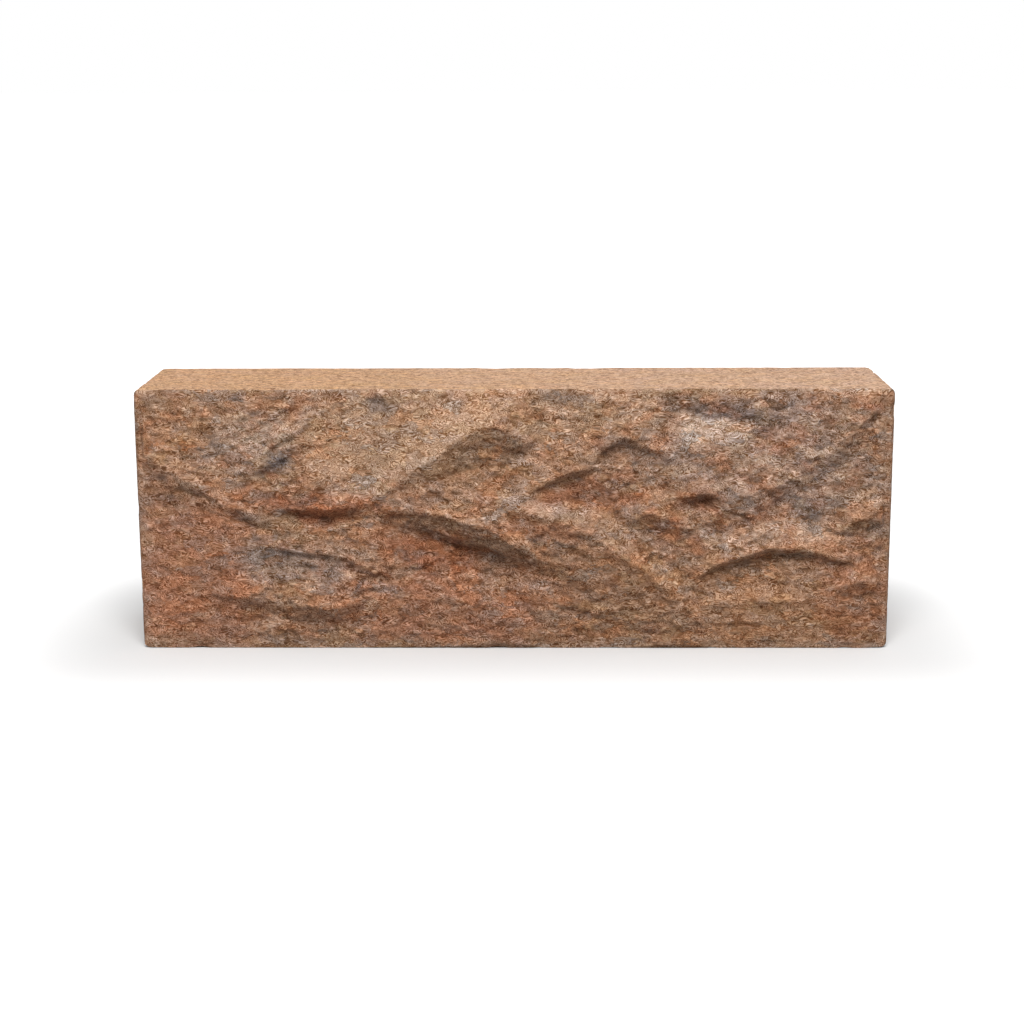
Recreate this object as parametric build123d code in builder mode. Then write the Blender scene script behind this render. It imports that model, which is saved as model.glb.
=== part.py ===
"""Rock-face brick: a pressed facing brick with plain beds, ends and back.

One long side, the face, looks like split stone. It bellies out of the arris plane, and ledges of
broken rock run across it: each swells out to a lip and breaks off steeply below it. Towards the rim
the ledges die away, so that the face keeps a straight arris and the brick lays to a line.

Frame: +X along the length, +Z up from the lower bed, and the rock face looks along -Y. The origin is
at the middle of the brick's outline on the floor. Units are millimetres.
"""

import os
from typing import NamedTuple

from build123d import *

# Driving dimensions of the brick
LENGTH = 250.0
HEIGHT = 88.0
BED_DEPTH = 50.0  # from the back to the arris of the rock face
BACK_CORNER_RADIUS = 4.0  # upright edges at the back
FRONT_CORNER_RADIUS = 2.0  # upright edges beside the rock face
END_EDGE_RADIUS = 2.0  # edges between the ends and the beds
BACK_EDGE_RADIUS = 1.0  # edges between the back and the beds

# The rock face
RIM_WIDTH = 7.0  # the slope along the arris
RIM_PROUD = 1.0  # how far that slope comes out of the arris plane
BELLY_WIDTH = 30.0  # from the arris to the flat middle of the belly
BELLY_PROUD = 2.5  # how far the middle stands out of the arris plane
LEDGE_RIM = 14.0  # width of the margin over which the ledges die away to the arris
LEDGE_ROOT = 3.0  # how deep the ledges are rooted behind the middle of the belly
SHOULDER_RISE = 0.4  # where the slope above a lip turns steeper, as a share of its rise
SHOULDER_DROP = 0.35  # how far it has fallen back there, as a share of its depth


class Ledge(NamedTuple):
    """One break in the stone. Its lip runs from left to right through points (across, up, proud):
    across from the middle of the brick, up from the lower bed, and proud of the belly. A lip starts
    and ends below the belly, so that the ledge grows out of it."""

    lip: list
    rise: float  # height of the slope above the lip
    steepness: float  # how fast the break below the lip falls back, per millimetre down


LEDGES = [
    # the long ledge left of the middle
    Ledge(
        [
            (-50, 44.5, -1), (-42, 47.6, 2), (-34, 48.2, 3.6), (-23, 47.2, 5),
            (-11, 43.8, 6.4), (-2, 39.4, 6.2), (6, 34.4, 5.2), (14, 29.2, 3.2), (24, 25, -1),
        ],
        rise=30,
        steepness=0.5,
    ),
    # the boulder that slants down to the right from its end
    Ledge(
        [
            (-18, 48, -1), (-8, 48.8, 3.2), (3, 49.2, 6), (11, 47.3, 7.5), (18, 44.2, 6.6),
            (32, 36.6, 4.8), (45, 26.8, 3.6), (53, 20.2, 2.4), (66, 6, -1),
        ],
        rise=18,
        steepness=0.21,
    ),
    # the slanting edge of the upper slab
    Ledge(
        [
            (-58, 45.5, -1), (-48, 50.5, 0.8), (-37, 57.9, 2.6), (-29, 64.4, 3.8),
            (-20, 70.7, 4.8), (-11, 75.8, 4.8), (-6, 76.8, 4.2), (3, 73, 2.6), (13, 66, -1),
        ],
        rise=18,
        steepness=0.28,
    ),
    # the steps right of the middle
    Ledge(
        [(-8, 48, -1), (0, 52, 3.6), (6, 55.4, 4.4), (15, 59.6, 3.8), (23, 61.4, 2), (34, 62.4, -1)],
        rise=24,
        steepness=0.7,
    ),
    Ledge(
        [(23, 62.3, -1), (30, 69, 0.9), (36, 72.9, 1.6), (42, 70.4, 1.2), (52, 65, 0.4), (62, 60, -1)],
        rise=18,
        steepness=0.6,
    ),
    Ledge(
        [(29, 38.6, -1), (38, 44.8, 1.8), (45, 47, 2.8), (51, 45, 2), (64, 38, -1)],
        rise=20,
        steepness=0.45,
    ),
    Ledge(
        [(51, 49.2, -1), (57, 52.4, 1.4), (63, 53.2, 2.2), (68, 52, 1), (74, 49.4, -1)],
        rise=18,
        steepness=1.1,
    ),
    # the shelf on the right
    Ledge(
        [
            (56, 21, -1), (62, 26, 1), (69, 30.4, 2.9), (76, 33.2, 3.8), (85, 35, 3.6),
            (93, 35.1, 2.8), (101, 33.6, 1.8), (110, 30.6, 0.8), (118, 26, -1),
        ],
        rise=18,
        steepness=1.3,
    ),
    # the ridge that slants up from it to the upper right corner
    Ledge(
        [
            (54, 39.4, -1), (66, 45.8, 1.2), (76, 51.2, 2.4), (88, 57.4, 2.2),
            (100, 64.2, 1.6), (107, 69.6, 1.5), (113, 75.4, 1), (120, 83, -1),
        ],
        rise=26,
        steepness=0.3,
    ),
    # the knobs at the right hand rim
    Ledge([(104, 36.6, -1), (111, 43.8, 1.4), (117, 45.2, 1.3), (122, 43, -1)], rise=14, steepness=0.5),
    Ledge([(103, 16, -1), (110, 23.4, 1.5), (115, 24.2, 1.3), (121, 21, -1)], rise=12, steepness=0.5),
    # the break on the left and the crease that slants down to it
    Ledge(
        [(-84, 46.6, -1), (-73, 49, 2.4), (-62, 48.8, 3.6), (-54, 49.4, 3), (-45, 47.6, -1)],
        rise=30,
        steepness=1.1,
    ),
    Ledge(
        [
            (-122, 66.5, -1), (-114, 61.2, 1), (-104, 55.4, 1.5),
            (-97, 51.2, 1.7), (-90, 47.2, 1.3), (-78, 41, -1),
        ],
        rise=30,
        steepness=0.3,
    ),
    # the flakes above them
    Ledge([(-91, 56.3, -1), (-83, 61.7, 0.8), (-75, 66.8, 1), (-67, 68.8, -1)], rise=13, steepness=0.6),
    Ledge([(-84, 66, -1), (-79, 69.2, 0.7), (-73, 73.4, 0.7), (-68, 76, -1)], rise=10, steepness=0.6),
    # the boss low on the left, with the fold over it
    Ledge(
        [
            (-108, 19.5, -1), (-92, 18.8, 0.9), (-77, 16.6, 1.8),
            (-62, 14.4, 2.3), (-53, 16.4, 2), (-42, 22, -1),
        ],
        rise=26,
        steepness=0.55,
    ),
    Ledge(
        [(-94, 35.6, -1), (-80, 35, 0.7), (-66, 33.6, 1), (-56, 31.6, 0.8), (-45, 27, -1)],
        rise=20,
        steepness=0.5,
    ),
    # the low swells along the bottom
    Ledge(
        [(-60, 12.3, -1), (-42, 17.7, 0.4), (-22, 18.7, 0.6), (-6, 13.7, 0.5), (8, 6.3, -1)],
        rise=24,
        steepness=0.15,
    ),
    Ledge([(52, 12.3, -1), (72, 16.2, 0.5), (90, 17.7, 0.6), (106, 14.3, -1)], rise=16, steepness=0.18),
]

# Worked out from those sizes
ROCK_RELIEF = BELLY_PROUD + max(proud for ledge in LEDGES for _, _, proud in ledge.lip)
DEPTH = BED_DEPTH + ROCK_RELIEF
BACK_Y = DEPTH / 2
ARRIS_Y = BACK_Y - BED_DEPTH
BELLY_Y = ARRIS_Y - BELLY_PROUD
ROOT_Y = BELLY_Y + LEDGE_ROOT


def face_plane(y):
    """An upright plane at y that looks out of the rock face, with its origin at mid height."""
    return Plane(origin=(0, y, HEIGHT / 2), x_dir=(1, 0, 0), z_dir=(0, -1, 0))


# What the brick may fill: a block up to the arris plane, and a bevelled margin in front of it
with BuildPart() as envelope:
    with BuildSketch(face_plane(ARRIS_Y)):
        RectangleRounded(LENGTH, HEIGHT, END_EDGE_RADIUS)
    extrude(amount=-BED_DEPTH)
    fillet(envelope.faces().sort_by(Axis.Y)[-1].edges(), BACK_EDGE_RADIUS)
    with BuildSketch(face_plane(ARRIS_Y)):
        Rectangle(LENGTH, HEIGHT)
    with BuildSketch(face_plane(ARRIS_Y - ROCK_RELIEF)):
        Rectangle(LENGTH - 2 * LEDGE_RIM, HEIGHT - 2 * LEDGE_RIM)
    loft()

with BuildPart() as brick:
    # The plain block, drawn from above
    with BuildSketch() as bed:
        with Locations((0, BACK_Y - BED_DEPTH / 2)):
            Rectangle(LENGTH, BED_DEPTH)
        fillet(bed.vertices().group_by(Axis.Y)[-1], BACK_CORNER_RADIUS)
        fillet(bed.vertices().group_by(Axis.Y)[0], FRONT_CORNER_RADIUS)
    extrude(amount=HEIGHT)

    # The belly of the face
    with BuildSketch(face_plane(ARRIS_Y)):
        Rectangle(LENGTH - 2 * FRONT_CORNER_RADIUS, HEIGHT)
    with BuildSketch(face_plane(ARRIS_Y - RIM_PROUD)):
        Rectangle(LENGTH - 2 * RIM_WIDTH, HEIGHT - 2 * RIM_WIDTH)
    with BuildSketch(face_plane(BELLY_Y)):
        Rectangle(LENGTH - 2 * BELLY_WIDTH, HEIGHT - 2 * BELLY_WIDTH)
    loft(ruled=True)

    # The ledges, each lofted through one section at each point of its lip
    for ledge in LEDGES:
        for across, up, proud in ledge.lip:
            reach = proud + LEDGE_ROOT
            with BuildSketch(Plane.YZ.offset(across)):
                Polygon(
                    (BELLY_Y - proud, up),
                    (BELLY_Y - proud + SHOULDER_DROP * reach, up + SHOULDER_RISE * ledge.rise),
                    (ROOT_Y, up + ledge.rise),
                    (ROOT_Y, up - reach / ledge.steepness),
                    align=None,
                )
        loft(ruled=True)

    add(envelope.part, mode=Mode.INTERSECT)

brick.part.label = "brick"
os.makedirs("parts", exist_ok=True)
export_step(brick.part, "parts/brick.step")
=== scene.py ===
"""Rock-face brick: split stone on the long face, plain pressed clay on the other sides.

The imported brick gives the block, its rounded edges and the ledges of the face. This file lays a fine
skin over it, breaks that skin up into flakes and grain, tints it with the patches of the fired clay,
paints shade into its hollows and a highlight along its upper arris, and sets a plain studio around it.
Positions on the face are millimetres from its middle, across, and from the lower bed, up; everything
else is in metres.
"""

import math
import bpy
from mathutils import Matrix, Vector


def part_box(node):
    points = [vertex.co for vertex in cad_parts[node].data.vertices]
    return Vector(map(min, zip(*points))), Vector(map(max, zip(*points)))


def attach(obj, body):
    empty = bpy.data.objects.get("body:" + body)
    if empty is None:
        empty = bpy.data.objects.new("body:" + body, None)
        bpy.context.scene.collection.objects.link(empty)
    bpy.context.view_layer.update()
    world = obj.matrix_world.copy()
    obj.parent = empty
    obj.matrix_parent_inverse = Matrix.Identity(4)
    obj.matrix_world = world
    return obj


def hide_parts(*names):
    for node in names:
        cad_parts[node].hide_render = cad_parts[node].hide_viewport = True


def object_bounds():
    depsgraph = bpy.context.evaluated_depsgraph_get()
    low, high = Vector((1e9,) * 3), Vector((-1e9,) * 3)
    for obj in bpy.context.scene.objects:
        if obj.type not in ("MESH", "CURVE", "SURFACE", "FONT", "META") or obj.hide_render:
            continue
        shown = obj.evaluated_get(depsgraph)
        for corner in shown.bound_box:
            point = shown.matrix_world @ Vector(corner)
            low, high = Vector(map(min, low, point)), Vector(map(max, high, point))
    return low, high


bl_info = {
    "name": "Rock-face brick",
    "version": (1, 0, 0),
    "blender": (4, 5, 0),
    "location": "View3D > Sidebar > Brick",
    "description": "Dresses the packed brick in split stone and pressed clay, on a plain stage",
    "category": "Add Mesh",
}

from typing import NamedTuple

import bmesh
import bpy
import numpy as np
from bpy.props import FloatProperty, FloatVectorProperty, PointerProperty
from mathutils import Matrix, Vector, noise
from mathutils.bvhtree import BVHTree

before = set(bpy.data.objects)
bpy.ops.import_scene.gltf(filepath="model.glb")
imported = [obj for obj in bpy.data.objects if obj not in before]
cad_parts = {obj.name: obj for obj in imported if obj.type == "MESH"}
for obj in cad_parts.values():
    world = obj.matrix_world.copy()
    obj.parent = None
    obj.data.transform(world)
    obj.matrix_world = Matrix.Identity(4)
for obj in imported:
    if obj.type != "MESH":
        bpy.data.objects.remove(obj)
CAD_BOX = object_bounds()

NODE = "brick"
MM = 0.001

BED_DEPTH = 0.050  # from the back to the arris of the rock face, as in the solid
LOOK_DOWN = 0.218  # slope of the view in which the patches were drawn: what stands out lies lower there
EDGE_LOOPS = (0.0006, 0.0013)  # extra cuts beside each edge, so that it can be rounded
FRONT_CUTS = 4  # further cuts in each cell of the rock face

# Sizes of the stone's features and of the tones laid over its patches
SWELL_SIZE = 0.028
LUMP_SIZE = 0.0075
CLUMP_SIZE = (0.0036, 0.0029)  # across and up, as for the chips
CHIP_SIZE = (0.0019, 0.0016)
CHIP_SHARE = 0.55  # height of the chips, as a share of the clumps' height
FIBRE_SIZE = 0.0014
MOTTLE_SIZE = 0.0048
SMUDGE_SIZE = 0.0028
RUBBED_SIZE = 0.0024

# The block's edges by the two axes across them, and how strongly each kind is worn
WORN_EDGES = ((0, 2, 0.35), (1, 2, 0.3), (0, 1, 0.25))
WEAR_REACH = 0.0032

# The stage
FLOOR_HALF = 20.0
NEAR_LIFT = (0.004, 0.07)  # where the floor's lift to white starts and ends, from the brick outwards
FAR_LIFT = (0.07, 1.2)
LIT_POINT = (0.0, 0.0, 0.05)  # what the lamps are turned to
KEY_PLACE = (0.04, -1.52, 2.14)
KEY_SIZE = 1.5
TOP_PLACE = (0.2, 0.15, 1.6)
TOP_SIZE = 1.2
SENSOR_WIDTH = 36.0  # of the camera, in millimetres


def tone(red, green, blue):
    """A colour as it looks on screen, 0 to 255, as the linear colour that a shader takes."""
    shares = (red / 255, green / 255, blue / 255)
    return tuple(s / 12.92 if s <= 0.04045 else ((s + 0.055) / 1.055) ** 2.4 for s in shares)


class Spot(NamedTuple):
    """An oval place on the rock face: its middle and half sizes in millimetres, its tilt in degrees and its
    strength. It fades out towards its rim."""

    across: float
    up: float
    half_across: float
    half_up: float
    tilt: float
    strength: float


# Patches of the fired clay, and of painted shade in hollows, at the heights at which the camera sees them
PATCHES = [
    # the broad ground: tan above, red brown low on the left, brown low on the right
    ("tan", Spot(-40, 74, 44, 18, 0, 0.75)),
    ("tan", Spot(34, 80, 32, 10, 0, 0.45)),
    ("olive", Spot(6, 82, 24, 8, 0, 0.3)),
    ("red", Spot(-108, 24, 26, 34, 0, 0.85)),
    ("red", Spot(-22, 13, 48, 16, 0, 0.8)),
    ("brown", Spot(84, 15, 34, 17, 0, 0.8)),
    ("violet", Spot(82, 66, 40, 24, 0, 0.7)),
    ("violet", Spot(-112, 54, 16, 10, -30, 0.25)),
    # grey fired patches
    ("grey", Spot(-70, 28, 24, 10, -6, 0.8)),
    ("slate", Spot(-74, 30, 10, 3, -4, 0.4)),
    ("slate", Spot(-58, 25, 9, 3, 0, 0.35)),
    ("grey", Spot(-88, 33, 9, 6, 0, 0.5)),
    ("grey", Spot(-86, 70, 15, 14, 0, 0.7)),
    ("grey", Spot(14, 12, 6, 4, 0, 0.6)),
    ("grey", Spot(-40, 20, 7, 4, 0, 0.6)),
    ("grey", Spot(22, 43, 8, 4, 0, 0.5)),
    ("grey", Spot(95, 47, 14, 8, 0, 0.7)),
    ("grey", Spot(108, 58, 10, 10, 0, 0.6)),
    # dark smudges
    ("slate", Spot(-42, 84.5, 7, 3.5, 0, 0.8)),
    ("slate", Spot(-77, 63, 8, 3.4, 30, 0.8)),
    ("slate", Spot(-76, 71.5, 5, 2, 35, 0.6)),
    ("slate", Spot(14, 83, 9, 3.5, 0, 0.5)),
    ("slate", Spot(70, 81.5, 22, 6, -6, 0.75)),
    ("slate", Spot(104, 80, 8, 5, 0, 0.35)),
    ("slate", Spot(95, 47, 8, 4, 0, 0.6)),
    ("slate", Spot(36, 68, 8, 5, 0, 0.4)),
    ("slate", Spot(118, 42, 5, 6, 0, 0.5)),
    # painted shade, dark and warm, in the crease that slants down on the left
    ("hollow_shade", Spot(-112, 52, 14, 8, -30, 0.3)),
    ("slate", Spot(-90, 44, 7, 2.2, -25, 0.6)),
    ("slate", Spot(-47, 24.4, 4.5, 1.4, 0, 1.0)),
    ("slate", Spot(-50, 18.6, 4.5, 1.3, 20, 0.7)),
    ("slate", Spot(100, 68, 10, 3, 40, 0.5)),
    # rust and orange
    ("orange", Spot(-66, 48, 24, 5, 0, 0.95)),
    # painted shade under the break on the left
    ("hollow_shade", Spot(-68, 51, 20, 3, 0, 0.25)),
    ("rust", Spot(-86, 52, 12, 4, 0, 0.6)),
    ("orange", Spot(-28, 35, 22, 9, -12, 1.0)),
    ("orange", Spot(-34, 24, 14, 6, 0, 0.5)),
    ("rust", Spot(114, 20, 13, 22, 0, 0.7)),
    ("orange", Spot(117, 83, 5, 3, 0, 0.7)),
    ("brown", Spot(-113, 72, 8, 10, 0, 0.9)),
    ("pale", Spot(-84, 72, 14, 11, 0, 0.25)),
    ("rust", Spot(20, 53.5, 15, 5.5, 8, 0.95)),
    ("rust", Spot(31, 49.5, 13, 4.5, 0, 0.85)),
    # painted shade in the hollow under the steps
    ("hollow_shade", Spot(20, 52.8, 16, 5.2, 10, 0.8)),
    ("rust", Spot(8, 38.5, 17, 4.5, -14, 0.6)),
    # painted shade in the hole right of the steps, under the long ledge and below the upper slab
    ("hollow_shade", Spot(63, 50.4, 7, 3, 0, 0.9)),
    ("hollow_shade", Spot(-12, 36, 14, 4, -20, 0.5)),
    ("hollow_shade", Spot(-31, 33, 15, 7, -12, 0.35)),
    ("hollow_shade", Spot(-26, 57, 16, 5, 26, 0.35)),
    ("rust", Spot(48, 42, 8, 5, 0, 0.8)),
    ("orange", Spot(62, 34, 6, 3, 0, 0.6)),
    ("rust", Spot(58, 50, 7, 3, 0, 0.6)),
    ("rust", Spot(80, 47, 9, 3, 20, 0.5)),
    ("rust", Spot(92, 70, 10, 3, 12, 0.5)),
    ("rust", Spot(-70, 84, 6, 3, 0, 0.6)),
    ("brown", Spot(50, 25, 16, 7, -10, 0.7)),
    ("brown", Spot(24, 12, 20, 11, 0, 0.45)),
    ("olive", Spot(-8, 66, 18, 9, 12, 0.5)),
    # pale rubbed places
    ("pale", Spot(67, 72, 13, 7.5, 0, 0.95)),
    ("pale", Spot(92, 38, 20, 5, 0, 0.3)),
    ("pale", Spot(8, 47.5, 14, 3, -8, 0.35)),
    ("violet", Spot(11, 46.5, 19, 4, -12, 0.5)),
    ("pale", Spot(68, 38, 7, 5, 0, 0.5)),
    ("pale", Spot(-48, 55, 9, 5, 20, 0.4)),
]

# Where the stone is smoother, at heights on the face itself
CALM = [
    Spot(-36, 70, 34, 16, 18, 0.6),
    Spot(67, 74, 13, 7, 0, 0.5),
    Spot(9, 49.5, 15, 5, -10, 0.6),
    Spot(-108, 22, 22, 34, 0, 0.4),
    Spot(-24, 10, 40, 14, 0, 0.25),
    Spot(86, 14, 34, 15, 0, 0.45),
    Spot(34, 22, 20, 14, -30, 0.3),
]


class Crease(NamedTuple):
    """A break in the rock face: its lip from left to right through points (across, up, depth), how far
    below the lip it is deepest, and how far below that the stone comes back."""

    lip: list
    drop: float
    back: float


CREASES = [
    # under the long ledge: along its lip, and deeper lower down
    Crease(
        [
            (-50, 44.5, 0), (-42, 47.6, 0.3), (-34, 48.2, 0.5), (-23, 47.2, 0.6), (-11, 43.8, 0.6),
            (-2, 39.4, 0.6), (6, 34.4, 0.5), (14, 29.2, 0.4), (24, 25, 0),
        ],
        drop=2.5,
        back=9,
    ),
    Crease(
        [
            (-46, 45.2, 0), (-37, 43.8, 0.9), (-28, 41.6, 1.6), (-19, 39, 2.2), (-11, 36.2, 2.4),
            (-4, 33.8, 2.2), (4, 31.2, 1.7), (12, 28.4, 1), (22, 25.6, 0),
        ],
        drop=3,
        back=9,
    ),
    # along the edge of the boulder and round the edge of the upper slab
    Crease(
        [
            (-8, 48.8, 0), (3, 49.2, 0.2), (11, 47.3, 0.3), (18, 44.2, 0.4),
            (32, 36.6, 0.5), (45, 26.8, 0.4), (62, 9, 0),
        ],
        drop=3,
        back=12,
    ),
    Crease(
        [
            (-50, 49.2, 0), (-37, 57.9, 0.2), (-29, 64.4, 0.3), (-20, 70.7, 0.4),
            (-11, 75.8, 0.4), (-6, 76.8, 0.4), (3, 73, 0.3), (13, 66, 0),
        ],
        drop=4,
        back=14,
    ),
    # under the steps right of the middle
    Crease(
        [(-8, 48, 0), (0, 52, 0.5), (6, 55.4, 0.9), (15, 59.6, 1.1), (23, 61.4, 0.6), (34, 62.4, 0)],
        drop=2.6,
        back=6,
    ),
    Crease(
        [(23, 62.3, 0), (30, 69, 0.4), (36, 72.9, 0.5), (42, 70.4, 0.4), (52, 65, 0.2), (62, 60, 0)],
        drop=2.2,
        back=6,
    ),
    Crease([(29, 38.6, 0), (38, 44.8, 0.3), (45, 47, 0.6), (51, 45, 0.4), (64, 38, 0)], drop=2, back=7),
    Crease(
        [(51, 49.2, 0), (57, 52.4, 1.4), (63, 53.2, 1.9), (68, 52, 1.3), (74, 49.4, 0)],
        drop=3.2,
        back=3,
    ),
    # under the shelf on the right, the ridge above it and the knob beside it
    Crease(
        [
            (56, 21, 0), (62, 26, 0.3), (69, 30.4, 0.6), (76, 33.2, 0.8), (85, 35, 0.8),
            (93, 35.1, 0.6), (101, 33.6, 0.5), (110, 30.6, 0.4), (118, 26, 0),
        ],
        drop=3,
        back=9,
    ),
    Crease(
        [
            (54, 39.4, 0), (66, 45.8, 0.2), (76, 51.2, 0.3), (88, 57.4, 0.3),
            (100, 64.2, 0.4), (107, 69.6, 0.9), (113, 75.4, 0.7), (120, 83, 0),
        ],
        drop=2,
        back=7,
    ),
    Crease([(104, 36.6, 0), (111, 43.8, 0.4), (117, 45.2, 0.5), (122, 43, 0)], drop=2, back=5),
    # under the break on the left, and along the crease that slants down to it
    Crease(
        [(-84, 46.6, 0), (-73, 49, 0.8), (-62, 48.8, 1.2), (-54, 49.4, 1), (-45, 47.6, 0)],
        drop=2.8,
        back=5,
    ),
    Crease(
        [
            (-122, 66.5, 0), (-114, 61.2, 0.2), (-104, 55.4, 0.5),
            (-97, 51.2, 0.5), (-90, 47.2, 0.3), (-78, 41, 0),
        ],
        drop=1.6,
        back=6,
    ),
    Crease([(-96, 47.5, 0), (-90, 45.2, 0.8), (-84, 43, 0.7), (-76, 41, 0)], drop=1.2, back=3),
    Crease([(-91, 56.3, 0), (-83, 61.7, 0.3), (-75, 66.8, 0.4), (-67, 68.8, 0)], drop=1.5, back=5),
    Crease([(-84, 66, 0), (-79, 69.2, 0.3), (-73, 73.4, 0.3), (-68, 76, 0)], drop=1.5, back=4),
    Crease([(-66, 55.2, 0), (-59, 56.2, 0.5), (-53, 55.2, 0.6), (-46, 53.7, 0)], drop=1.2, back=3),
    # under the boss low on the left, in the fold over it and at its right end
    Crease(
        [
            (-108, 19.5, 0), (-92, 18.8, 0.3), (-77, 16.6, 0.4),
            (-62, 14.4, 0.5), (-53, 16.4, 0.4), (-42, 22, 0),
        ],
        drop=4,
        back=8,
    ),
    Crease(
        [(-94, 35.6, 0), (-80, 35, 0.4), (-66, 33.6, 0.5), (-56, 31.6, 0.6), (-45, 27, 0)],
        drop=1.4,
        back=5,
    ),
    Crease([(-53, 26.6, 0), (-49, 26.2, 1.4), (-44, 25.8, 1.2), (-40, 24.5, 0)], drop=1.4, back=2.4),
    Crease([(-55, 18.8, 0), (-51, 20.2, 1.2), (-47, 21.2, 1.1), (-43, 23, 0)], drop=1.4, back=2.4),
    # low on the face
    Crease(
        [(-60, 12.3, 0), (-42, 17.7, 0.2), (-22, 18.7, 0.3), (-6, 13.7, 0.2), (8, 6.3, 0)],
        drop=2,
        back=9,
    ),
    Crease([(-14, 27, 0), (-2, 25.6, 0.5), (10, 24.3, 0.5), (20, 22.5, 0)], drop=1.4, back=4),
    Crease([(10, 17.5, 0), (20, 15, 0.4), (30, 12, 0.4), (40, 8.5, 0)], drop=1.2, back=4),
    Crease([(52, 12.3, 0), (72, 16.2, 0.4), (90, 17.7, 0.5), (106, 14.3, 0)], drop=1.2, back=6),
    Crease([(52, 7.4, 0), (60, 10, 0.5), (66, 9, 0.5), (72, 5.4, 0)], drop=1.2, back=4),
]


class BrickShape(bpy.types.PropertyGroup):
    """Sizes of the skin that is laid over the solid."""

    cell: FloatVectorProperty(
        name="Cell",
        description="Cells of the plain sides",
        default=(2.8 * MM, 1.8 * MM, 2.8 * MM),
        unit="LENGTH",
    )
    ledge_wander: FloatProperty(
        name="Ledge wander",
        description="How far a lip strays from its line",
        default=0.8 * MM,
        unit="LENGTH",
    )
    swell: FloatProperty(
        name="Swell",
        description="Height of the broad swells of the stone",
        default=0.45 * MM,
        unit="LENGTH",
    )
    lump: FloatProperty(
        name="Lump",
        description="Height of the lumps between the ledges",
        default=0.35 * MM,
        unit="LENGTH",
    )
    flake: FloatProperty(
        name="Flake", description="Height of the broken clumps", default=0.55 * MM, unit="LENGTH"
    )
    fibre: FloatProperty(
        name="Fibre",
        description="Height of the finest ridges of the stone",
        default=0.2 * MM,
        unit="LENGTH",
    )
    pressed_grain: FloatProperty(
        name="Pressed grain",
        description="Unevenness of the plain sides",
        default=0.12 * MM,
        unit="LENGTH",
    )
    edge_wear: FloatProperty(
        name="Edge wear",
        description="Depth of the nicks along the edges",
        default=0.9 * MM,
        unit="LENGTH",
    )


class BrickColours(bpy.types.PropertyGroup):
    """Tones of the fired clay, with a painted shade for the hollows and a painted highlight along the arris.
    """

    ground: FloatVectorProperty(
        name="Ground", description="Rock face, all over", subtype="COLOR", default=tone(161, 123, 95)
    )
    tan: FloatVectorProperty(
        name="Tan",
        description="Upper part of the rock face",
        subtype="COLOR",
        default=tone(182, 147, 118),
    )
    olive: FloatVectorProperty(
        name="Olive", description="Dull yellow patches", subtype="COLOR", default=tone(154, 118, 86)
    )
    brown: FloatVectorProperty(
        name="Brown",
        description="Lower right of the rock face",
        subtype="COLOR",
        default=tone(169, 126, 92),
    )
    red: FloatVectorProperty(
        name="Red brown",
        description="Lower left of the rock face",
        subtype="COLOR",
        default=tone(165, 114, 86),
    )
    rust: FloatVectorProperty(
        name="Rust", description="Rust patches", subtype="COLOR", default=tone(157, 105, 74)
    )
    orange: FloatVectorProperty(
        name="Orange", description="Brightest rust", subtype="COLOR", default=tone(158, 101, 70)
    )
    grey: FloatVectorProperty(
        name="Grey", description="Patches fired grey", subtype="COLOR", default=tone(151, 126, 109)
    )
    violet: FloatVectorProperty(
        name="Violet grey", description="Upper right", subtype="COLOR", default=tone(156, 128, 110)
    )
    slate: FloatVectorProperty(
        name="Slate", description="Dark smudges", subtype="COLOR", default=tone(104, 90, 84)
    )
    # a painted shade: the dark warm tone laid into hollows and under ledges
    hollow_shade: FloatVectorProperty(
        name="Umber", description="Dark warm hollows", subtype="COLOR", default=tone(120, 80, 58)
    )
    pale: FloatVectorProperty(
        name="Pale", description="Rubbed places", subtype="COLOR", default=tone(212, 181, 157)
    )
    pressed: FloatVectorProperty(
        name="Pressed clay",
        description="Beds, ends and back",
        subtype="COLOR",
        default=tone(179, 139, 105),
    )
    pressed_pale: FloatVectorProperty(
        name="Pressed clay, pale",
        description="The same, right end",
        subtype="COLOR",
        default=tone(181, 147, 122),
    )
    # partly rubbed clay, partly a painted highlight along the upper arris
    arris: FloatVectorProperty(
        name="Arris", description="Rubbed edges of the face", subtype="COLOR", default=tone(182, 150, 124)
    )


class BrickStage(bpy.types.PropertyGroup):
    """Floor, light and camera."""

    floor_seen: FloatProperty(
        name="Floor, seen", description="Paleness of the floor to the camera", default=0.715
    )
    floor_bounce: FloatProperty(
        name="Floor, bounce", description="Paleness of the floor to the brick", default=0.25
    )
    floor_near: FloatProperty(
        name="Floor lift, near", description="White added for the camera round the shadow", default=0.3
    )
    floor_far: FloatProperty(name="Floor lift, far", description="More white added far away", default=0.7)
    sky: FloatProperty(name="Sky", description="Strength of the even light all round", default=0.2)
    key: FloatProperty(
        name="Key", description="Power of the soft light above and in front", default=78.0, unit="POWER"
    )
    top: FloatProperty(
        name="Top", description="Power of the soft light overhead", default=7.0, unit="POWER"
    )
    lens: FloatProperty(
        name="Lens", description="Focal length in millimetres", default=70.55, subtype="DISTANCE_CAMERA"
    )
    camera_place: FloatVectorProperty(
        name="Camera",
        description="Where the camera stands",
        default=(0.0111, -0.6692, 0.1889),
        subtype="TRANSLATION",
    )
    camera_pitch: FloatProperty(
        name="Pitch", description="How far it looks down", default=math.radians(12.345), subtype="ANGLE"
    )
    camera_yaw: FloatProperty(
        name="Yaw", description="How far it turns left", default=math.radians(1.021), subtype="ANGLE"
    )
    camera_roll: FloatProperty(
        name="Roll", description="How far it leans right", default=math.radians(0.262), subtype="ANGLE"
    )


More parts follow.
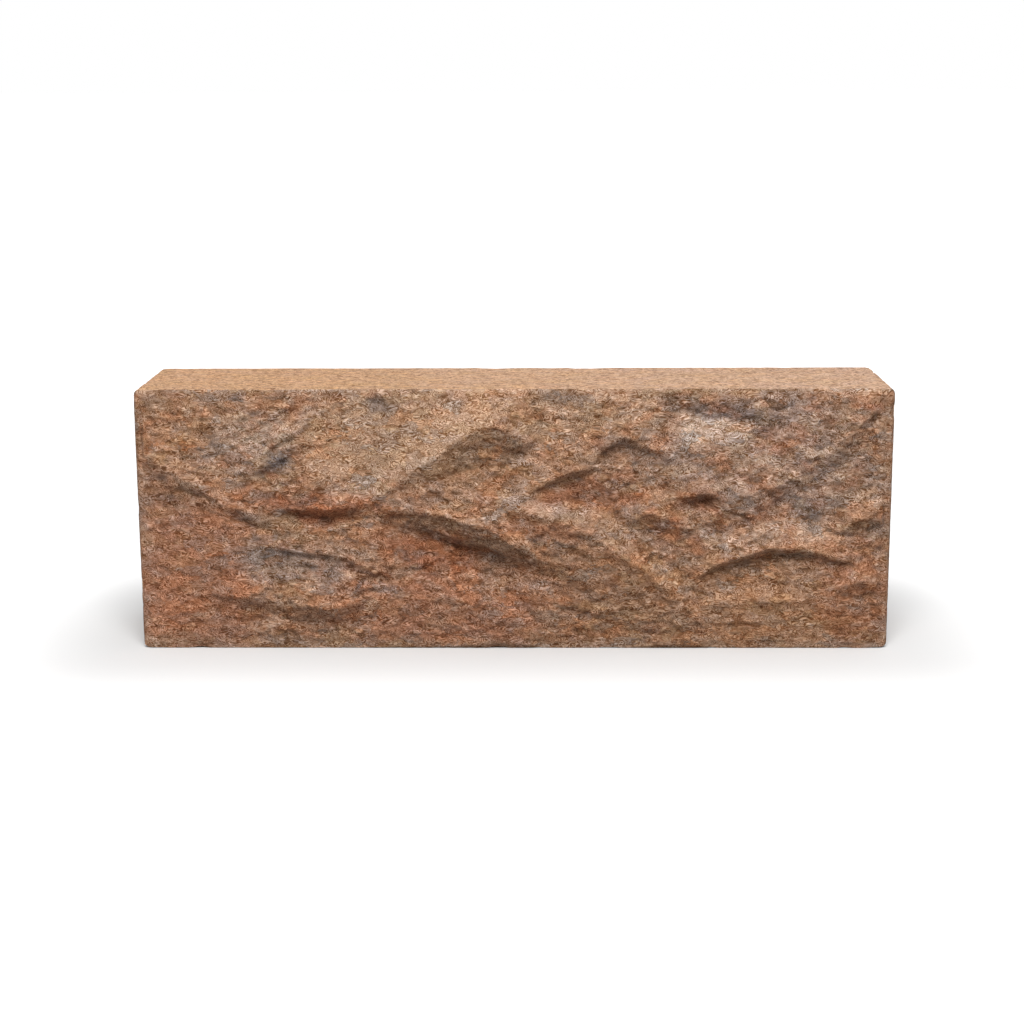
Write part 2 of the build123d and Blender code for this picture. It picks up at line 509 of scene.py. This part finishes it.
def step(low, high, values):
    """0 below low, 1 above high and a smooth rise between them."""
    share = np.clip((values - low) / (high - low), 0.0, 1.0)
    return share * share * (3.0 - 2.0 * share)


def fractal(points, size, octaves, seed, stretch=1.0):
    """Fractal noise at each point, with features of that size, longer along X by stretch."""
    scaled = points / size
    scaled[:, 0] /= stretch
    scaled += seed
    return np.array([noise.fractal(p, 1.0, 2.0, octaves) for p in scaled.tolist()])


def drift(points, size, seed):
    """A noise vector at each point."""
    scaled = points / size + seed
    shifts = (0.0, 37.2, 91.7)
    return np.array([[noise.noise(p) for p in (scaled + shift).tolist()] for shift in shifts]).T


def flakes(points, width, height, seed):
    """Broken clumps: each is rounded, leans out towards its lower edge and has a height of its own."""
    cells = points / np.array([width, width, height]) + seed + 0.35 * drift(points, 0.6 * width, seed)
    rise = np.empty(len(points))
    for i, place in enumerate(cells.tolist()):
        distances, middles = noise.voronoi(place)
        middle = middles[0]
        own = noise.noise(middle * 5.3)
        lean = 0.5 + 0.5 * noise.noise(middle * 3.1 + Vector((7.0, 0.0, 0.0)))
        rise[i] = own + lean * (middle.z - place[2]) - 0.9 * distances[0]
    return rise + 0.3


def spread(values, edges, rounds):
    """Averages a value with its neighbours along the edges, that many times."""
    count = np.bincount(edges.ravel(), minlength=len(values)).astype(float)
    for _ in range(rounds):
        total = np.bincount(edges[:, 0], values[edges[:, 1]], len(values))
        total += np.bincount(edges[:, 1], values[edges[:, 0]], len(values))
        values = 0.5 * values + 0.5 * total / np.maximum(count, 1.0)
    return values


def plain_block(low, high, cell):
    """A box from low to high in cells of about that size, with finer cells on its front, the rock face."""
    span = high - low
    block = bmesh.new()
    bmesh.ops.create_cube(
        block, size=1.0, matrix=Matrix.Translation((low + high) / 2) @ Matrix.Diagonal((*span, 1.0))
    )
    for axis in range(3):
        whole = 0.9 * span[axis]
        along = [e for e in block.edges if abs(e.verts[0].co[axis] - e.verts[1].co[axis]) > whole]
        cuts = round(span[axis] / cell[axis]) - 1
        bmesh.ops.subdivide_edges(block, edges=along, cuts=cuts, use_grid_fill=True)
    for axis in range(3):
        for inset in EDGE_LOOPS:
            for place in (low[axis] + inset, high[axis] - inset):
                point = Vector((0.0, 0.0, 0.0))
                point[axis] = place
                facing = Vector((0.0, 0.0, 0.0))
                facing[axis] = 1.0
                parts = block.verts[:] + block.edges[:] + block.faces[:]
                bmesh.ops.bisect_plane(block, geom=parts, plane_co=point, plane_no=facing, dist=1e-6)
    block.normal_update()
    front = [f for f in block.faces if f.normal.y < -0.9]
    for face in block.faces:
        face.material_index = 1
        face.smooth = True
    for face in front:
        face.material_index = 0
    rows = list({e for f in front for e in f.edges})
    bmesh.ops.subdivide_edges(block, edges=rows, cuts=FRONT_CUTS, use_grid_fill=True)
    return block


def solid_tree(node):
    """The solid's surface, merged, for finding points on it."""
    copy = bmesh.new()
    copy.from_mesh(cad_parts[node].data)
    bmesh.ops.remove_doubles(copy, verts=copy.verts[:], dist=1e-6)
    tree = BVHTree.FromBMesh(copy)
    copy.free()
    return tree


def lay_on_face(tree, points, low, high, arris_y):
    """How far the solid's face stands out of the arris plane at each point; not a number off its edge."""
    margin = 0.00002
    across = np.clip(points[:, 0], low.x + margin, high.x - margin)
    up = np.clip(points[:, 2], low.z + margin, high.z - margin)
    out = np.empty(len(points))
    ahead = Vector((0.0, 1.0, 0.0))
    for i, (x, z) in enumerate(zip(across.tolist(), up.tolist())):
        hit = tree.ray_cast(Vector((x, low.y - 0.01, z)), ahead)[0]
        out[i] = arris_y - hit.y if hit else np.nan
    return out


def carve(points):
    """How deep the creases cut into the face at each point."""
    bends = 0.0013 * drift(points, 0.008, 83.0) + 0.0008 * drift(points, 0.0028, 91.0)
    across = (points[:, 0] + bends[:, 0]) / MM
    up = (points[:, 2] + bends[:, 2]) / MM
    cut = np.zeros(len(points))
    for crease in CREASES:
        line = np.array(crease.lip, float)
        slopes = np.diff(line[:, 1]) / np.diff(line[:, 0])
        slope = np.interp(across, (line[1:, 0] + line[:-1, 0]) / 2, slopes)
        below = (np.interp(across, line[:, 0], line[:, 1]) - up) / np.hypot(1.0, slope)
        deep = np.interp(across, line[:, 0], line[:, 2])
        share = np.sqrt(np.clip(below / crease.drop, 0.0, 1.0))
        share *= 1.0 - step(crease.drop, crease.drop + crease.back, below)
        cut += deep * share
    return cut * MM


def inside(spot, across, up):
    """How far each point lies inside a spot: its strength in the middle, 0 outside."""
    turn = math.radians(spot.tilt)
    dx, dz = across - spot.across, up - spot.up
    along = (dx * math.cos(turn) + dz * math.sin(turn)) / spot.half_across
    over = (dz * math.cos(turn) - dx * math.sin(turn)) / spot.half_up
    return spot.strength * (1.0 - step(0.45, 1.25, np.hypot(along, over)))


def wear(points, low, high, depth):
    """How the edges of the block are rubbed and nicked: a move inwards from both sides of each edge."""
    gap = np.minimum(points - np.array(low), np.array(high) - points)
    inward = np.where(points < (np.array(low) + np.array(high)) / 2, 1.0, -1.0)
    nick = 0.25 + 0.5 * np.abs(fractal(points, 0.004, 3, 101.0))
    nick = nick + 1.2 * step(0.15, 0.6, fractal(points, 0.009, 2, 113.0))
    move = np.zeros_like(points)
    for first, second, share in WORN_EDGES:
        near = 1.0 - step(0.0, WEAR_REACH, np.hypot(gap[:, first], gap[:, second]))
        for axis in (first, second):
            move[:, axis] += inward[:, axis] * near * nick * share * depth
    return move


def paint_face(points, relief, edges, colours):
    """The tone of the fired clay at each point of the rock face: the patches, a small mottle where the stone
    isn't calm, painted shade in what lies behind its neighbours and painted light on what stands out of
    them."""
    bends = 0.006 * drift(points, 0.016, 21.0) + 0.0025 * drift(points, 0.005, 33.0)
    across = (points[:, 0] + bends[:, 0]) / MM
    up = (points[:, 2] + bends[:, 2]) / MM
    paint = np.tile(np.array(colours.ground), (len(points), 1))
    for name, spot in PATCHES:
        share = inside(spot, across, up)
        paint += share[:, None] * (np.array(getattr(colours, name)) - paint)
    mottle = fractal(points, MOTTLE_SIZE, 3, 41.0, 1.5)
    lively = np.ones(len(points))
    for spot in CALM:
        lively *= 1.0 - inside(spot, across, up)
    for name, share in (
        ("rust", 0.4 * step(0.05, 0.5, mottle)),
        ("grey", 0.4 * step(0.05, 0.5, -mottle)),
        ("slate", 0.25 * step(0.2, 0.6, fractal(points, SMUDGE_SIZE, 3, 57.0, 1.5))),
        ("pale", 0.3 * step(0.2, 0.6, fractal(points, RUBBED_SIZE, 3, 71.0, 1.4))),
    ):
        paint += (share * lively)[:, None] * (np.array(getattr(colours, name)) - paint)
    # painted shade: darker where a point lies behind its neighbours; painted light: paler where it stands
    # out
    near = spread(relief, edges, 12) - relief
    broad = spread(relief, edges, 120) - relief
    shade = 1.0 - 0.16 * np.clip(near / (0.25 * MM), -0.7, 1.0)
    shade = shade - 0.08 * np.clip(broad / (1.5 * MM), -0.5, 1.0)
    return paint * shade[:, None]


def paint_sides(points, low, high, colours):
    """The tone of the pressed clay: warmer at one end, with faint clouds and streaks along the bed."""
    paint = np.tile(np.array(colours.pressed), (len(points), 1))
    warm = step(low.x, high.x, points[:, 0] + 0.05 * fractal(points, 0.05, 2, 131.0))
    paint += 0.8 * warm[:, None] * (np.array(colours.pressed_pale) - paint)
    cloud = fractal(points, 0.012, 3, 137.0, 2.2)
    paint *= (1.0 + 0.05 * cloud + 0.05 * fractal(points, 0.004, 2, 149.0, 2.0))[:, None]
    paint[:, 2] *= 1.0 + 0.08 * fractal(points, 0.006, 3, 157.0, 1.5)
    return paint


def rub_and_highlight(paint, points, low, high, arris_y, colours):
    """Rubs the upper arris pale, unevenly, as worn clay and as a painted highlight where the edge catches
    the light, and the foot of the face a little.
    """
    uneven = 0.65 + 0.3 * fractal(points, 0.003, 2, 151.0, 2.0)
    upper = 1.0 - step(0.0003, 0.0015, np.maximum(high.z - points[:, 2], points[:, 1] - arris_y))
    foot = 1.0 - step(0.001, 0.005, np.maximum(points[:, 2] - low.z, points[:, 1] - arris_y))
    share = np.clip((upper + 0.5 * foot) * uneven, 0.0, 1.0)
    return paint + share[:, None] * (np.array(colours.arris) - paint)


def press_sides(tree, places, low, high, grain_height):
    """Points of the plain sides, laid on the solid and moved in by the unevenness of pressed clay."""
    skin = np.array([tree.find_nearest(Vector(place))[0] for place in places])
    grain = fractal(skin, 0.0016, 2, 5.0) + 0.8 * fractal(skin, 0.03, 2, 15.0)
    middle = np.array(high + low) / 2
    outermost = np.abs(places - middle) > 0.999 * np.array((high - low) / 2)
    inward = -np.sign(places - middle) * outermost
    return skin + inward * (grain_height * (1.0 + 0.5 * np.clip(grain, -2.0, 2.0)))[:, None]


def break_face(tree, face, edges, low, high, arris_y, shape):
    """How far each point of the rock face stands out: the solid's ledges, the creases under them, and the
    lumps, flakes and fibres of the stone. Also says where the solid has nothing behind a point."""
    gaps = (face[:, 0] - low.x, high.x - face[:, 0], face[:, 2] - low.z, high.z - face[:, 2])
    edge = np.minimum.reduce(gaps)
    stray = shape.ledge_wander * (drift(face, 0.011, 3.0) + 0.45 * drift(face, 0.004, 11.0))
    relief = lay_on_face(tree, face + stray * step(0.002, 0.012, edge)[:, None], low, high, arris_y)
    missed = np.isnan(relief)
    relief[missed] = 0.0
    relief = spread(relief, edges, 2)
    rough = shape.swell * fractal(face, SWELL_SIZE, 3, 1.0, 1.4)
    rough += shape.lump * fractal(face, LUMP_SIZE, 3, 27.0, 1.3)
    rough += shape.flake * spread(flakes(face, *CLUMP_SIZE, 9.0), edges, 1)
    rough += CHIP_SHARE * shape.flake * flakes(face, *CHIP_SIZE, 19.0)
    rough += shape.fibre * fractal(face, FIBRE_SIZE, 2, 63.0, 1.3)
    for spot in CALM:
        rough *= 1.0 - inside(spot, face[:, 0] / MM, face[:, 2] / MM)
    relief = relief + (rough - carve(face)) * step(0.0004, 0.005, edge)
    limit = arris_y - low.y - 0.0001
    return np.minimum(relief, limit), missed


def build_brick(shape, colours):
    """The whole brick as one skin: the solid's block and ledges, broken up into flakes and grain."""
    low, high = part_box(NODE)
    arris_y = high.y - BED_DEPTH
    block = plain_block(Vector((low.x, arris_y, low.z)), high, shape.cell)
    mesh = bpy.data.meshes.new(NODE)
    block.to_mesh(mesh)
    block.free()

    places = np.empty(len(mesh.vertices) * 3)
    mesh.vertices.foreach_get("co", places)
    places = places.reshape(-1, 3)
    pairs = np.empty(len(mesh.edges) * 2, np.int64)
    mesh.edges.foreach_get("vertices", pairs)
    pairs = pairs.reshape(-1, 2)
    tree = solid_tree(NODE)

    front = np.flatnonzero(places[:, 1] < arris_y + 1e-6)
    side = np.flatnonzero(places[:, 1] >= arris_y + 1e-6)
    number = np.full(len(places), -1)
    number[front] = np.arange(len(front))
    face_edges = number[pairs]
    face_edges = face_edges[(face_edges >= 0).all(1)]

    skin = places.copy()
    skin[side] = press_sides(tree, places[side], low, high, shape.pressed_grain)
    face = places[front]
    relief, missed = break_face(tree, face, face_edges, low, high, arris_y, shape)
    skin[front, 1] = arris_y - relief
    for i in front[missed].tolist():
        skin[i] = tree.find_nearest(Vector(places[i]))[0]
    skin += wear(places, Vector((low.x, arris_y, low.z)), high, shape.edge_wear)
    mesh.vertices.foreach_set("co", skin.ravel())

    paint = np.ones((len(places), 4))
    paint[side, :3] = paint_sides(places[side], low, high, colours)
    drawn = face.copy()
    drawn[:, 2] -= LOOK_DOWN * relief
    paint[front, :3] = paint_face(drawn, relief, face_edges, colours)
    # rubbed edges, with a painted highlight along the upper arris
    paint[:, :3] = rub_and_highlight(paint[:, :3], places, low, high, arris_y, colours)
    # the tones include the painted shade of the hollows and the painted highlight along the arris
    mesh.attributes.new("stone_tone_and_painted_light", "FLOAT_COLOR", "POINT").data.foreach_set("color", paint.ravel())
    mesh.update()
    piece = bpy.data.objects.new("rock_face_brick", mesh)
    bpy.context.scene.collection.objects.link(piece)
    return piece


def clay_grain_group():
    """Fine grain of fired clay, used by both finishes: curling flecks from dark to light, small chips with
    a tint of their own, the cracks between them, and the height of it all. The finishes darken the cracks as
    painted shade."""
    group = bpy.data.node_groups.new("clay_grain", "ShaderNodeTree")
    face = group.interface
    face.new_socket("Vector", in_out="INPUT", socket_type="NodeSocketVector")
    face.new_socket("Scale", in_out="INPUT", socket_type="NodeSocketFloat")
    face.new_socket("Curl", in_out="INPUT", socket_type="NodeSocketFloat")
    for name in ("Flecks", "Tint", "Cracks", "Height"):
        face.new_socket(name, in_out="OUTPUT", socket_type="NodeSocketFloat")
    nodes, links = group.nodes, group.links
    given, result = nodes.new("NodeGroupInput"), nodes.new("NodeGroupOutput")

    def put(value, socket):
        if isinstance(value, (int, float)):
            socket.default_value = value
        else:
            links.new(value, socket)

    def calc(kind, first, second):
        node = nodes.new("ShaderNodeMath")
        node.operation = kind
        put(first, node.inputs[0])
        put(second, node.inputs[1])
        return node.outputs[0]

    def noise_of(scale, detail, turn, output="Fac"):
        node = nodes.new("ShaderNodeTexNoise")
        node.inputs["Detail"].default_value = detail
        node.inputs["Roughness"].default_value = 0.6
        node.inputs["Distortion"].default_value = turn
        put(given.outputs["Vector"], node.inputs["Vector"])
        put(calc("MULTIPLY", given.outputs["Scale"], scale), node.inputs["Scale"])
        return node.outputs[output]

    def chips_of(kind, place, output):
        node = nodes.new("ShaderNodeTexVoronoi")
        node.feature = kind
        put(place, node.inputs["Vector"])
        put(calc("MULTIPLY", given.outputs["Scale"], 0.75), node.inputs["Scale"])
        return node.outputs[output]

    # strokes along the contour lines of a noise, stronger in some places than in others
    phase = calc("MULTIPLY", noise_of(1.35, 1.0, 0.9), given.outputs["Curl"])
    strength = calc("MULTIPLY", noise_of(0.9, 1.0, 0.0), 0.8)
    strokes = calc("MULTIPLY", calc("SINE", phase, 0.0), strength)
    fine = calc("MULTIPLY", calc("SUBTRACT", noise_of(4.8, 2.0, 0.5), 0.5), 1.1)
    flecks = calc("ADD", calc("ADD", strokes, fine), 0.5)

    # chips with bent outlines
    centred = nodes.new("ShaderNodeVectorMath")
    centred.operation = "SUBTRACT"
    centred.inputs[1].default_value = (0.5, 0.5, 0.5)
    links.new(noise_of(1.3, 2.0, 0.0, "Color"), centred.inputs[0])
    reach = nodes.new("ShaderNodeVectorMath")
    reach.operation = "SCALE"
    links.new(centred.outputs["Vector"], reach.inputs[0])
    put(calc("DIVIDE", 2.2, given.outputs["Scale"]), reach.inputs["Scale"])
    bent = nodes.new("ShaderNodeVectorMath")
    bent.operation = "ADD"
    links.new(given.outputs["Vector"], bent.inputs[0])
    links.new(reach.outputs["Vector"], bent.inputs[1])
    place = bent.outputs["Vector"]

    own = nodes.new("ShaderNodeSeparateColor")
    links.new(chips_of("F1", place, "Color"), own.inputs["Color"])
    rim = chips_of("DISTANCE_TO_EDGE", place, "Distance")
    gone = calc("MULTIPLY", calc("SUBTRACT", noise_of(0.8, 1.0, 0.0), 0.46), 0.9)
    broken = calc("ADD", rim, gone)
    # the cracks' mask, which the finishes use for painted shade in the cracks
    cracks = nodes.new("ShaderNodeMapRange")
    cracks.inputs["From Min"].default_value = 0.0
    cracks.inputs["From Max"].default_value = 0.07
    links.new(broken, cracks.inputs["Value"])
    cracked = calc("MULTIPLY", cracks.outputs["Result"], 0.5)
    raised = calc("MULTIPLY", own.outputs["Green"], 0.4)
    height = calc("ADD", flecks, calc("ADD", cracked, raised))
    links.new(flecks, result.inputs["Flecks"])
    links.new(own.outputs["Red"], result.inputs["Tint"])
    links.new(cracks.outputs["Result"], result.inputs["Cracks"])
    links.new(height, result.inputs["Height"])
    return group


def grain_nodes(material, group, scale, curl, stretch):
    """Places the grain in a material, on the brick's own coordinates."""
    nodes, links = material.node_tree.nodes, material.node_tree.links
    place = nodes.new("ShaderNodeTexCoord")
    turn = nodes.new("ShaderNodeMapping")
    turn.inputs["Scale"].default_value = (1.0 / stretch, 1.0, 1.0)
    grain = nodes.new("ShaderNodeGroup")
    grain.node_tree = group
    grain.inputs["Scale"].default_value = scale
    grain.inputs["Curl"].default_value = curl
    links.new(place.outputs["Object"], turn.inputs["Vector"])
    links.new(turn.outputs["Vector"], grain.inputs["Vector"])
    return grain


def ramp_node(nodes, stops):
    """A colour ramp through (place, colour) stops."""
    ramp = nodes.new("ShaderNodeValToRGB")
    elements = ramp.color_ramp.elements
    while len(elements) < len(stops):
        elements.new(0.5)
    for element, (place, colour) in zip(elements, stops):
        element.position = place
        element.color = (*colour, 1.0)
    return ramp


def bumped(material, height, distance, strength):
    """Sends a height into the shader's normal."""
    nodes, links = material.node_tree.nodes, material.node_tree.links
    bump = nodes.new("ShaderNodeBump")
    bump.inputs["Distance"].default_value = distance
    bump.inputs["Strength"].default_value = strength
    links.new(height, bump.inputs["Height"])
    links.new(bump.outputs["Normal"], nodes["Principled BSDF"].inputs["Normal"])


def painted_grain(material, grain, flecks, tints, cracks):
    """The painted tones, with the grain's flecks, chips and cracks laid over them, the cracks as painted
    shade.
    """
    nodes, links = material.node_tree.nodes, material.node_tree.links
    painted = nodes.new("ShaderNodeAttribute")
    painted.attribute_name = "stone_tone_and_painted_light"
    colour = painted.outputs["Color"]
    for output, stops in (("Flecks", flecks), ("Tint", tints), ("Cracks", cracks)):
        ramp = ramp_node(nodes, stops)
        mixed = nodes.new("ShaderNodeMix")
        mixed.data_type = "RGBA"
        mixed.blend_type = "MULTIPLY"
        mixed.inputs["Factor"].default_value = 1.0
        links.new(grain.outputs[output], ramp.inputs["Fac"])
        links.new(colour, mixed.inputs["A"])
        links.new(ramp.outputs["Color"], mixed.inputs["B"])
        colour = mixed.outputs["Result"]
    links.new(colour, nodes["Principled BSDF"].inputs["Base Color"])


def split_stone(group):
    """The rock face: the painted tones, with chips of several tints, cracks darkened as painted shade, and
    curling grain whose dark and light partly stand in for the shade and light of the fine relief.
    """
    material = bpy.data.materials.new("split_stone")
    material.use_nodes = True
    shader = material.node_tree.nodes["Principled BSDF"]
    shader.inputs["Roughness"].default_value = 0.92
    shader.inputs["Specular IOR Level"].default_value = 0.25
    grain = grain_nodes(material, group, 340.0, 62.0, 1.8)
    painted_grain(
        material,
        grain,
        # grain flecks, whose dark and light also stand in for the shade and light of the fine relief
        flecks=[(0.0, (0.42, 0.3, 0.2)), (0.5, (1.0, 1.0, 1.0)), (1.0, (1.6, 1.84, 2.2))],
        tints=[
            (0.0, (0.86, 0.93, 1.0)),
            (0.25, (1.04, 1.03, 1.05)),
            (0.5, (1.0, 0.98, 0.88)),
            (0.75, (1.1, 1.08, 1.08)),
            (1.0, (1.1, 0.96, 0.82)),
        ],
        # painted shade in the cracks between the chips
        cracks=[(0.0, (0.66, 0.58, 0.5)), (1.0, (1.0, 1.0, 1.0))],
    )
    bumped(material, grain.outputs["Height"], 0.0003, 0.5)
    return material


def pressed_clay(group):
    """The beds, ends and back: even sandy clay with fine dark and light grains."""
    material = bpy.data.materials.new("pressed_clay")
    material.use_nodes = True
    shader = material.node_tree.nodes["Principled BSDF"]
    shader.inputs["Roughness"].default_value = 0.9
    shader.inputs["Specular IOR Level"].default_value = 0.25
    grain = grain_nodes(material, group, 700.0, 14.0, 1.8)
    painted_grain(
        material,
        grain,
        flecks=[(0.0, (0.4, 0.32, 0.24)), (0.5, (1.0, 1.0, 1.0)), (1.0, (1.5, 1.62, 1.76))],
        tints=[(0.0, (0.94, 0.96, 1.0)), (0.5, (1.0, 1.0, 1.0)), (1.0, (1.05, 1.0, 0.93))],
        # faint painted shade in the cracks between the grains
        cracks=[(0.0, (0.88, 0.86, 0.84)), (1.0, (1.0, 1.0, 1.0))],
    )
    bumped(material, grain.outputs["Height"], 0.0003, 0.6)
    return material


class BRICK_OT_brick(bpy.types.Operator):
    """Lays the skin of split stone and pressed clay over the solid brick"""

    bl_idname = "brick.dress"
    bl_label = "Dress the brick"

    def execute(self, context):
        piece = build_brick(context.scene.brick_shape, context.scene.brick_colours)
        group = clay_grain_group()
        piece.data.materials.append(split_stone(group))
        piece.data.materials.append(pressed_clay(group))
        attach(piece, "root")
        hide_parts(NODE)
        return {"FINISHED"}


def soft_lamp(name, power, size, place, target):
    """A square soft light at a place, turned to its target."""
    data = bpy.data.lights.new(name, "AREA")
    data.energy = power
    data.size = size
    lamp = bpy.data.objects.new(name, data)
    bpy.context.scene.collection.objects.link(lamp)
    lamp.location = place
    lamp.rotation_euler = (Vector(target) - Vector(place)).to_track_quat("-Z", "Y").to_euler()


def direct_look(nodes, links):
    """1 where the camera looks, also in a mirror or through glass, and 0 for the light on things."""
    path = nodes.new("ShaderNodeLightPath")
    total = path.outputs["Is Camera Ray"]
    for name in ("Is Glossy Ray", "Is Transmission Ray"):
        either = nodes.new("ShaderNodeMath")
        either.operation = "MAXIMUM"
        links.new(total, either.inputs[0])
        links.new(path.outputs[name], either.inputs[1])
        total = either.outputs[0]
    return total


def floor_material(stage):
    """A pale floor that takes shadows, lifted to white for the camera alone, more so far from the brick."""
    material = bpy.data.materials.new("studio_floor")
    material.use_nodes = True
    nodes, links = material.node_tree.nodes, material.node_tree.links
    shader = nodes["Principled BSDF"]
    shader.inputs["Roughness"].default_value = 1.0
    shader.inputs["Specular IOR Level"].default_value = 0.0
    shader.inputs["Emission Color"].default_value = (1.0, 1.0, 1.0, 1.0)
    seen = nodes.new("ShaderNodeMapRange")
    seen.inputs["To Min"].default_value = stage.floor_bounce
    seen.inputs["To Max"].default_value = stage.floor_seen
    place = nodes.new("ShaderNodeTexCoord")
    outside = place.outputs["Object"]
    half_size = [(high - low) / 2 for low, high in zip(*CAD_BOX)]
    for kind, value in (("ABSOLUTE", None), ("SUBTRACT", half_size), ("MAXIMUM", (0.0, 0.0, 0.0))):
        node = nodes.new("ShaderNodeVectorMath")
        node.operation = kind
        links.new(outside, node.inputs[0])
        if value is not None:
            node.inputs[1].default_value = value
        outside = node.outputs["Vector"]
    away = nodes.new("ShaderNodeVectorMath")
    away.operation = "LENGTH"
    links.new(outside, away.inputs[0])
    lift = nodes.new("ShaderNodeMath")
    lift.operation = "ADD"
    reaches = ((*NEAR_LIFT, stage.floor_near), (*FAR_LIFT, stage.floor_far))
    for socket, (start, end, white) in zip(lift.inputs, reaches):
        node = nodes.new("ShaderNodeMapRange")
        node.interpolation_type = "SMOOTHSTEP"
        node.inputs["From Min"].default_value = start
        node.inputs["From Max"].default_value = end
        node.inputs["To Max"].default_value = white
        links.new(away.outputs["Value"], node.inputs["Value"])
        links.new(node.outputs["Result"], socket)
    shown = nodes.new("ShaderNodeMath")
    shown.operation = "MULTIPLY"
    looked_at = direct_look(nodes, links)
    links.new(looked_at, seen.inputs["Value"])
    links.new(seen.outputs["Result"], shader.inputs["Base Color"])
    links.new(looked_at, shown.inputs[0])
    links.new(lift.outputs[0], shown.inputs[1])
    links.new(shown.outputs[0], shader.inputs["Emission Strength"])
    return material


def white_sky(strength):
    """Even light all round, seen as white by the camera."""
    world = bpy.data.worlds.new("studio")
    world.use_nodes = True
    nodes, links = world.node_tree.nodes, world.node_tree.links
    sky = nodes["Background"]
    sky.inputs["Color"].default_value = (1.0, 1.0, 1.0, 1.0)
    level = nodes.new("ShaderNodeMapRange")
    level.inputs["To Min"].default_value = strength
    level.inputs["To Max"].default_value = 1.0
    links.new(direct_look(nodes, links), level.inputs["Value"])
    links.new(level.outputs["Result"], sky.inputs["Strength"])
    bpy.context.scene.world = world


class BRICK_OT_stage(bpy.types.Operator):
    """Sets the pale floor, the soft light and the camera around the brick"""

    bl_idname = "brick.stage"
    bl_label = "Set the stage"

    def execute(self, context):
        stage = context.scene.brick_stage
        sheet = bmesh.new()
        bmesh.ops.create_grid(sheet, x_segments=1, y_segments=1, size=FLOOR_HALF)
        mesh = bpy.data.meshes.new("studio_floor")
        sheet.to_mesh(mesh)
        sheet.free()
        floor = bpy.data.objects.new("studio_floor", mesh)
        context.scene.collection.objects.link(floor)
        mesh.materials.append(floor_material(stage))
        white_sky(stage.sky)
        soft_lamp("key_light", stage.key, KEY_SIZE, KEY_PLACE, LIT_POINT)
        soft_lamp("top_light", stage.top, TOP_SIZE, TOP_PLACE, LIT_POINT)
        data = bpy.data.cameras.new("camera")
        data.lens = stage.lens
        data.sensor_width = SENSOR_WIDTH
        camera = bpy.data.objects.new("camera", data)
        context.scene.collection.objects.link(camera)
        turn = Matrix.Rotation(stage.camera_yaw, 4, "Z")
        turn = turn @ Matrix.Rotation(math.pi / 2 - stage.camera_pitch, 4, "X")
        turn = turn @ Matrix.Rotation(-stage.camera_roll, 4, "Z")
        camera.matrix_world = Matrix.Translation(stage.camera_place) @ turn
        context.scene.camera = camera
        context.scene.view_settings.view_transform = "Standard"
        return {"FINISHED"}


class BRICK_PT_panel(bpy.types.Panel):
    """Lists the sizes, the tones and the steps"""

    bl_label = "Rock-face brick"
    bl_idname = "BRICK_PT_panel"
    bl_space_type = "VIEW_3D"
    bl_region_type = "UI"
    bl_category = "Brick"

    def draw(self, context):
        groups = (context.scene.brick_shape, context.scene.brick_colours, context.scene.brick_stage)
        for group in groups:
            box = self.layout.box()
            for name in group.__annotations__:
                box.prop(group, name)
        self.layout.operator(BRICK_OT_brick.bl_idname)
        self.layout.operator(BRICK_OT_stage.bl_idname)


CLASSES = (BrickShape, BrickColours, BrickStage, BRICK_OT_brick, BRICK_OT_stage, BRICK_PT_panel)


def register():
    for cls in CLASSES:
        bpy.utils.register_class(cls)
    bpy.types.Scene.brick_shape = PointerProperty(type=BrickShape)
    bpy.types.Scene.brick_colours = PointerProperty(type=BrickColours)
    bpy.types.Scene.brick_stage = PointerProperty(type=BrickStage)


def unregister():
    del bpy.types.Scene.brick_stage
    del bpy.types.Scene.brick_colours
    del bpy.types.Scene.brick_shape
    for cls in reversed(CLASSES):
        bpy.utils.unregister_class(cls)


def main():
    register()
    bpy.ops.brick.dress()
    bpy.ops.brick.stage()


if __name__ == "__main__":
    main()
